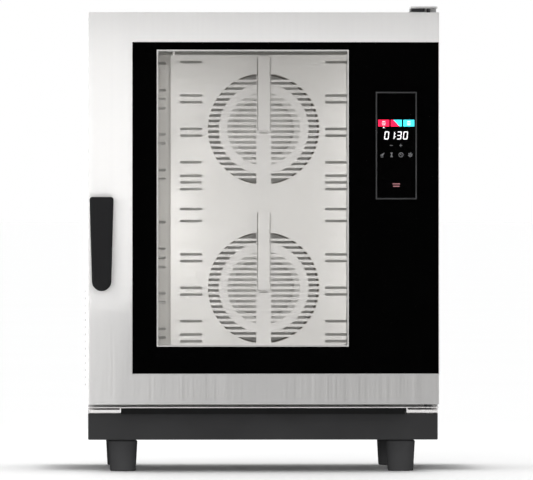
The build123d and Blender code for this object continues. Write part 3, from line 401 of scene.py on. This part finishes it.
def make_glass_print():
    """Black enamel on the back of the outer pane, open at the window."""
    inset = 1.0 * MM
    x0, z0 = glass_low.x + inset, glass_low.z + inset
    x1, z1 = glass_high.x - inset, glass_high.z - inset
    left, bottom, right, top = WINDOW
    strips = [
        rectangle(x0, z0, left, z1),
        rectangle(right, z0, x1, z1),
        rectangle(left, z0, right, bottom),
        rectangle(left, top, right, z1),
    ]
    slab("glass_print", strips, PRINT_FRONT, PRINT_BACK, "print_black")


make_glass_print()


def make_window_bead():
    """Pale spacer bead round the window, between the print and the inner pane."""
    left, bottom, right, top = WINDOW
    lap = 2.0 * MM
    seen = 2.8 * MM
    outline = border(left - lap, bottom - lap, right + lap, top + lap, lap + seen)
    front, back = PRINT_BACK + 0.1 * MM, PRINT_BACK + 3.0 * MM
    slab("window_bead", outline, front, back, "bead_grey")


make_window_bead()

PANEL_LEFT = module_low.x
PANEL_RIGHT = module_high.x
PANEL_MIDDLE = (PANEL_LEFT + PANEL_RIGHT) / 2
PANEL_TOP = module_high.z
PANEL_BOTTOM = module_low.z
ICON_TOP = PANEL_TOP - 60.5 * MM
ICON_HEIGHT = 14.5 * MM
ICON_WIDTH = 23.8 * MM
ICON_GAP = 3.4 * MM
DIGIT_TOP = PANEL_TOP - 86.0 * MM
DIGIT_HEIGHT = 17.0 * MM
KEY_ROW = PANEL_TOP - 136.5 * MM
START_MARK = PANEL_TOP - 202.0 * MM


def ink(name, outlines, paint):
    return slab(name, outlines, INK_FRONT, INK_BACK, paint)


def mark(name, outlines, paint):
    """A small sign in front of a coloured field."""
    return slab(name, outlines, INK_FRONT - 0.04 * MM, INK_FRONT - 0.01 * MM, paint)


def make_panel_outline():
    # The grey outline is print, with a painted glow from its emissive finish.
    ink("panel_outline", border(PANEL_LEFT, PANEL_BOTTOM, PANEL_RIGHT, PANEL_TOP, 3.0 * MM), "print_grey_painted_glow")


def make_mode_icons():
    """Three mode fields: hot air, mixed and steam."""
    bottom = ICON_TOP - ICON_HEIGHT
    left = PANEL_MIDDLE - 1.5 * ICON_WIDTH - ICON_GAP
    fields = [left + index * (ICON_WIDTH + ICON_GAP) for index in range(3)]
    ink("mode_hot_air", [rectangle(fields[0], bottom, fields[0] + ICON_WIDTH, ICON_TOP)], "mode_red")
    ink("mode_steam", [rectangle(fields[2], bottom, fields[2] + ICON_WIDTH, ICON_TOP)], "mode_cyan")
    x = fields[1]
    upper = x + 0.22 * ICON_WIDTH
    lower = x + 0.80 * ICON_WIDTH
    warm = [(x, bottom), (lower, bottom), (upper, ICON_TOP), (x, ICON_TOP)]
    cool = [(lower, bottom), (x + ICON_WIDTH, bottom), (x + ICON_WIDTH, ICON_TOP), (upper, ICON_TOP)]
    ink("mode_mixed_warm", [warm], "mode_red")
    ink("mode_mixed_cool", [cool], "mode_cyan")
    middle = (ICON_TOP + bottom) / 2
    bars = []
    for index in (0, 2):
        centre = fields[index] + ICON_WIDTH / 2
        for row in (-1, 0, 1):
            z = middle + row * 3.6 * MM
            half = (4.2 - 0.8 * abs(row)) * MM
            bars.append(rectangle(centre - half, z - 0.6 * MM, centre + half, z + 0.6 * MM))
    mark("mode_signs", bars, "mode_mark")
    tick = fields[0] + ICON_WIDTH / 2
    base = bottom - 3.4 * MM
    arrow = [(tick - 2.6 * MM, base), (tick + 2.6 * MM, base), (tick, bottom - 0.8 * MM)]
    ink("mode_pointer", [arrow], "digit_white")


SEGMENTS = {"0": "abcdef", "1": "bc", "3": "abcdg"}


def digit(character, left, bottom, width, height, stroke):
    """Seven-segment figure as separate square-ended bars, leaning a little to the right."""
    middle = bottom + height / 2
    gap = 0.35 * MM
    right = left + width
    top = bottom + height
    half = stroke / 2
    bars = {
        "a": rectangle(left + stroke * 0.6, top - stroke, right - stroke * 0.6, top),
        "d": rectangle(left + stroke * 0.6, bottom, right - stroke * 0.6, bottom + stroke),
        "g": rectangle(left + stroke * 0.6, middle - half, right - stroke * 0.6, middle + half),
        "f": rectangle(left, middle + gap, left + stroke, top - stroke * 0.6),
        "b": rectangle(right - stroke, middle + gap, right, top - stroke * 0.6),
        "e": rectangle(left, bottom + stroke * 0.6, left + stroke, middle - gap),
        "c": rectangle(right - stroke, bottom + stroke * 0.6, right, middle - gap),
    }
    slant = math.tan(math.radians(6))
    return [[(x + (z - bottom) * slant, z) for x, z in bars[key]] for key in SEGMENTS[character]]


def make_clock():
    """Time left, one hour and thirty minutes."""
    width = 9.6 * MM
    pitch = 13.6 * MM
    stroke = 1.7 * MM
    bottom = DIGIT_TOP - DIGIT_HEIGHT
    left = PANEL_MIDDLE - 26.5 * MM
    outlines = []
    places = (0.0, 0.92, 2.0, 3.0)
    for character, place in zip("0130", places):
        outlines += digit(character, left + place * pitch, bottom, width, DIGIT_HEIGHT, stroke)
    colon = left + 1.93 * pitch - 0.6 * MM
    for share in (0.30, 0.66):
        z = bottom + share * DIGIT_HEIGHT
        outlines.append(rectangle(colon - 2.4 * MM, z, colon - 0.6 * MM, z + 1.8 * MM))
    ink("clock_digits", outlines, "digit_white")


def make_keys():
    """Minus and plus, and a row of four small keys."""
    z = DIGIT_TOP - DIGIT_HEIGHT - 13.0 * MM
    minus_x = PANEL_MIDDLE - 10.6 * MM
    plus_x = PANEL_MIDDLE + 9.8 * MM
    arm = 3.2 * MM
    half = 0.6 * MM
    ink("key_minus", [rectangle(minus_x - arm, z - half, minus_x + arm, z + half)], "key_grey")
    plus = [
        rectangle(plus_x - arm, z - half, plus_x + arm, z + half),
        rectangle(plus_x - half, z + half, plus_x + half, z + arm),
        rectangle(plus_x - half, z - arm, plus_x + half, z - half),
    ]
    ink("key_plus", plus, "key_grey")
    radius = 5.2 * MM
    pitch = 20.3 * MM
    places = [PANEL_MIDDLE + (index - 1.5) * pitch for index in range(4)]
    x = places[0]
    hand = [
        [(x - 5 * MM, KEY_ROW - 1 * MM), (x + 1 * MM, KEY_ROW - 2.4 * MM), (x + 5.4 * MM, KEY_ROW + 4.4 * MM),
         (x + 3.2 * MM, KEY_ROW + 3.8 * MM)],
        rectangle(x - 3.6 * MM, KEY_ROW - 5.2 * MM, x + 2.2 * MM, KEY_ROW - 3.8 * MM),
    ]
    ink("key_temperature_ramp", hand, "key_grey")
    x = places[1]
    neck = 0.7 * MM
    glass_timer = [
        [(x - 2.8 * MM, KEY_ROW + 5 * MM), (x - neck, KEY_ROW),
         (x + neck, KEY_ROW), (x + 2.8 * MM, KEY_ROW + 5 * MM)],
        [(x - neck, KEY_ROW), (x - 3.0 * MM, KEY_ROW - 5 * MM),
         (x + 3.0 * MM, KEY_ROW - 5 * MM), (x + neck, KEY_ROW)],
    ]
    ink("key_hourglass", glass_timer, "key_grey")
    x = places[2]
    clock = ring_segments(x, KEY_ROW, radius - 1.3 * MM, radius)
    clock.append([(x - 3.6 * MM, KEY_ROW + 3.0 * MM), (x - 2.8 * MM, KEY_ROW + 3.8 * MM),
                  (x + 2.0 * MM, KEY_ROW - 0.9 * MM), (x + 1.2 * MM, KEY_ROW - 1.7 * MM)])
    ink("key_clock", clock, "key_grey")
    x = places[3]
    fan = []
    for blade in range(6):
        angle = math.radians(60 * blade)
        fan += ring_segments(x, KEY_ROW, 1.4 * MM, radius - 0.4 * MM, 4, angle, math.radians(38))
    fan += ring_segments(x, KEY_ROW, 0.2 * MM, 1.1 * MM, 12)
    ink("key_fan", fan, "key_grey")


def make_start_mark():
    """Two short bars, one over the other, stand for start and stop."""
    bars = []
    for offset, half in ((2.6, 8.0), (-2.6, 7.0)):
        z = START_MARK + offset * MM
        bars.append(rectangle(PANEL_MIDDLE - half * MM, z - 1.1 * MM, PANEL_MIDDLE + half * MM, z + 1.1 * MM))
    ink("key_start_stop", bars, "start_red")


make_panel_outline()
make_mode_icons()
make_clock()
make_keys()
make_start_mark()


# ------------------------------------------------------------------ edges

# Sheet edges catch the light, so the larger sheets get a small rounding.
ROUNDED = {
    "door_skin": 0.9,
    "base_plinth": 0.8,
    "left_side_panel": 0.5,
    "right_side_panel": 0.5,
    "upper_hinge_plate": 0.6,
    "lower_hinge_plates": 0.8,
    "door_sill": 0.4,
    "front_frame": 0.4,
}


def round_edges():
    for name, width in ROUNDED.items():
        bevel = NODES[name].modifiers.new("edge", "BEVEL")
        bevel.width = width * MM
        bevel.segments = 3
        bevel.limit_method = "ANGLE"
        bevel.angle_limit = math.radians(50)
        bevel.harden_normals = True


round_edges()


# ------------------------------------------------------------------ floor, sky and lamps


def make_floor():
    mesh = bpy.data.meshes.new("floor")
    reach = 1500.0
    work = bmesh.new()
    corners = [(-reach, -reach, 0), (reach, -reach, 0), (reach, reach, 0), (-reach, reach, 0)]
    work.faces.new([work.verts.new(corner) for corner in corners])
    work.to_mesh(mesh)
    work.free()
    floor = bpy.data.objects.new("floor", mesh)
    bpy.context.scene.collection.objects.link(floor)
    shader = Shader("floor_paper", (0.96, 0.96, 0.96), 0.75)
    cloud = shader.noise(0.6, detail=2.0)
    shader.vary_color(cloud, (0.94, 0.94, 0.94), 0.5)
    mesh.materials.append(shader.material)


def make_sky():
    """Plain white studio surround."""
    world = bpy.data.worlds.new("studio")
    bpy.context.scene.world = world
    world.use_nodes = True
    background = world.node_tree.nodes["Background"]
    background.inputs["Color"].default_value = (1.0, 1.0, 1.0, 1.0)
    background.inputs["Strength"].default_value = 1.0


def card(name, corners, grey):
    """A flat studio card. It is hidden from the camera, and shades the floor or shows in reflections."""
    mesh = bpy.data.meshes.new(name)
    work = bmesh.new()
    work.faces.new([work.verts.new(corner) for corner in corners])
    work.to_mesh(mesh)
    work.free()
    made = bpy.data.objects.new(name, mesh)
    bpy.context.scene.collection.objects.link(made)
    mesh.materials.append(lit(name, (grey, grey, grey), 1.0))
    made.visible_camera = False
    made.visible_transmission = False
    made.visible_volume_scatter = False
    return made


def flag(name, x0, x1, y0, y1, z0, z1, grey):
    """An upright card, from (x0, y0) to (x1, y1), that only reflections see."""
    made = card(name, [(x0, y0, z0), (x1, y1, z0), (x1, y1, z1), (x0, y0, z1)], grey)
    made.visible_diffuse = False
    made.visible_shadow = False


def make_cards():
    """Dark cards that blacken the glass and shade the steel, and one that shades the floor.

    They are placed for this camera. From a low angle at the side, their edges show in the glass.
    """
    far = DOOR_FACE - 8.0
    near = DOOR_FACE - 0.6
    middle = DOOR_FACE - 0.9
    flag("flag_camera", -0.40, 1.00, far, far, 0.005, 1.25, 0.0)
    flag("flag_low", -0.43, 2.4, middle, middle, 0.004, 0.29, 0.0)
    flag("flag_high", -1.6, 2.4, near, near, 1.03, 2.0, 0.10)
    flag("flag_left", -2.0, -2.0, -1.3, 0.3, 0.004, 1.5, 0.10)
    half, front, back, level = 0.48, -0.10, 0.34, 0.075
    corners = [(-half, front, level), (half, front, level), (half, back, level), (-half, back, level)]
    floor_shade = card("floor_shade", corners, 0.0)
    floor_shade.visible_glossy = False


def lamp(name, place, aim, size, power, color=(1, 1, 1), height=None):
    data = bpy.data.lights.new(name, "AREA")
    data.size = size
    if height:
        data.shape = "RECTANGLE"
        data.size_y = height
    data.energy = power
    data.color = color
    light = bpy.data.objects.new(name, data)
    bpy.context.scene.collection.objects.link(light)
    light.location = place
    light.rotation_mode = "QUATERNION"
    light.rotation_quaternion = (Vector(aim) - Vector(place)).to_track_quat("-Z", "Y")
    light.visible_camera = False
    return light


def make_lamps():
    """Three soft lamps outside, three in the chamber and one behind the fan baffle."""
    lamp("softbox_left", (-2.2, -3.4, 1.5), (0, 0, 0.6), 1.8, 26)
    lamp("rear_left", (-1.6, 3.2, 0.7), (-0.38, 0.2, 0.6), 1.6, 12)
    fill = lamp("front_fill", (-0.5, -6.0, 0.40), (0, 0, 0.4), 0.6, 220)
    fill.visible_glossy = False
    mouth_low, mouth_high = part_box("door_gasket")
    baffle_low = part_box("fan_baffle")[0]
    middle = (mouth_low + mouth_high) / 2
    margin = 0.05
    width = mouth_high.x - mouth_low.x - margin
    height = mouth_high.z - mouth_low.z - margin
    warm = (1.0, 0.99, 0.975)
    left_half = middle.x - 0.08
    front = (left_half, -0.240, middle.z)
    lamp("chamber_front", front, (left_half, 0.1, middle.z), width - 0.12, 0.55, warm, height)
    corner = (mouth_low.x + 0.06, -0.225, middle.z)
    lamp("chamber_left", corner, (middle.x, 0.16, middle.z), 0.03, 0.45, warm, 0.55)
    wall = mouth_high.x - 0.03
    side = (wall, -0.02, middle.z)
    lamp("chamber_right", side, (mouth_low.x, 0.02, middle.z), 0.18, 1.1, warm, height - margin)
    behind = (middle.x, baffle_low.y + 0.004, middle.z)
    lamp("fan_room", behind, (middle.x, 0.2, middle.z), 0.54, 0.28, warm, height - margin)


def make_sun():
    data = bpy.data.lights.new("overhead", "SUN")
    data.energy = 0.12
    data.angle = math.radians(60)
    light = bpy.data.objects.new("overhead", data)
    bpy.context.scene.collection.objects.link(light)
    light.location = (0, 0, 4)


make_floor()
make_sky()
make_cards()
make_lamps()
make_sun()
bpy.context.scene.view_settings.view_transform = "Standard"
bpy.context.scene.view_settings.look = "None"
